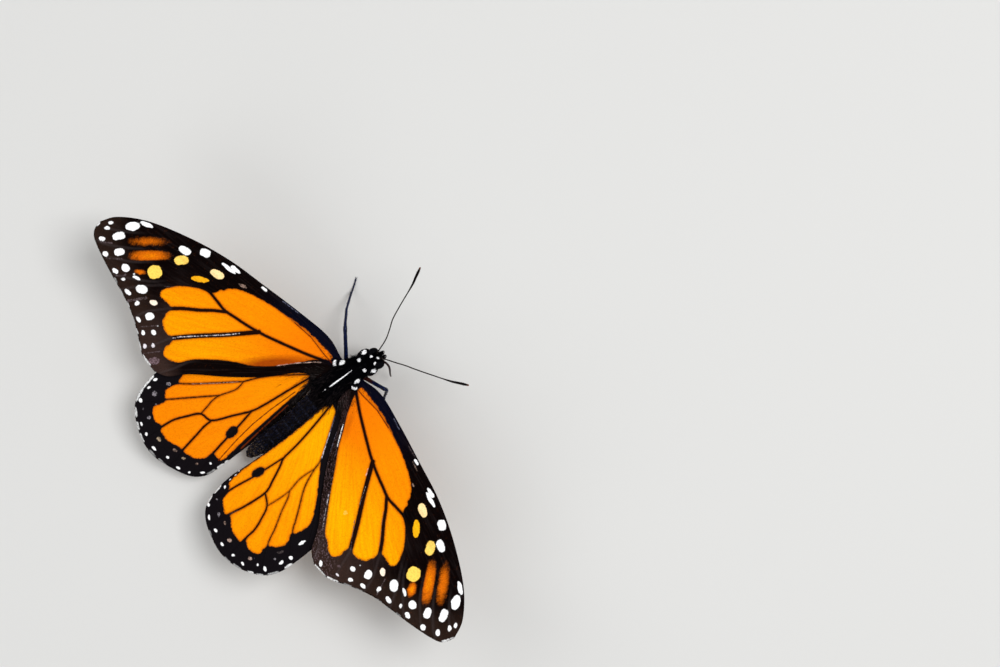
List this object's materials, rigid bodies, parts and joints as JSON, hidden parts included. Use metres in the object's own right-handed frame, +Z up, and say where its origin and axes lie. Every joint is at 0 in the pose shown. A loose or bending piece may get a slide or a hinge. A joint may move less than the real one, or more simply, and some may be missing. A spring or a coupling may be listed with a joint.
{
  "type": "monarch butterfly",
  "caption": "Life-size still model of a male monarch butterfly standing with its orange and black wings spread and its head turned slightly to one side.",
  "frame": {"origin": "on the floor under the middle of the whole insect, wing tip to wing tip and feeler tip to wing tail", "axes": "+Z up; the head points to -Y; the insect's left side is +X, along the wing span"},
  "size_m": [0.1002, 0.063, 0.0224],
  "materials": {
    "wing_fore": "orange scales in fine overlapping rows, with black veins and borders",
    "wing_hind": "orange scales in fine overlapping rows, with black veins and borders",
    "body": "black hair and scales with small white spots",
    "eye": "glossy black facets with a faint violet sheen",
    "limb": "black scaled chitin with a slight blue sheen",
    "tongue": "dark red-brown horn"
  },
  "bodies": {
    "root": {"head": "body", "eye_left": "eye", "eye_right": "eye", "palp_left": "body", "palp_right": "body", "antenna_left": "limb", "antenna_right": "limb", "proboscis": "tongue", "thorax": "body", "abdomen": "body", "forewing_left": "wing_fore", "forewing_right": "wing_fore", "hindwing_left": "wing_hind", "hindwing_right": "wing_hind", "foreleg_left": "limb", "foreleg_right": "limb", "midleg_left": "limb", "midleg_right": "limb", "hindleg_left": "limb", "hindleg_right": "limb"}
  },
  "joints": []
}
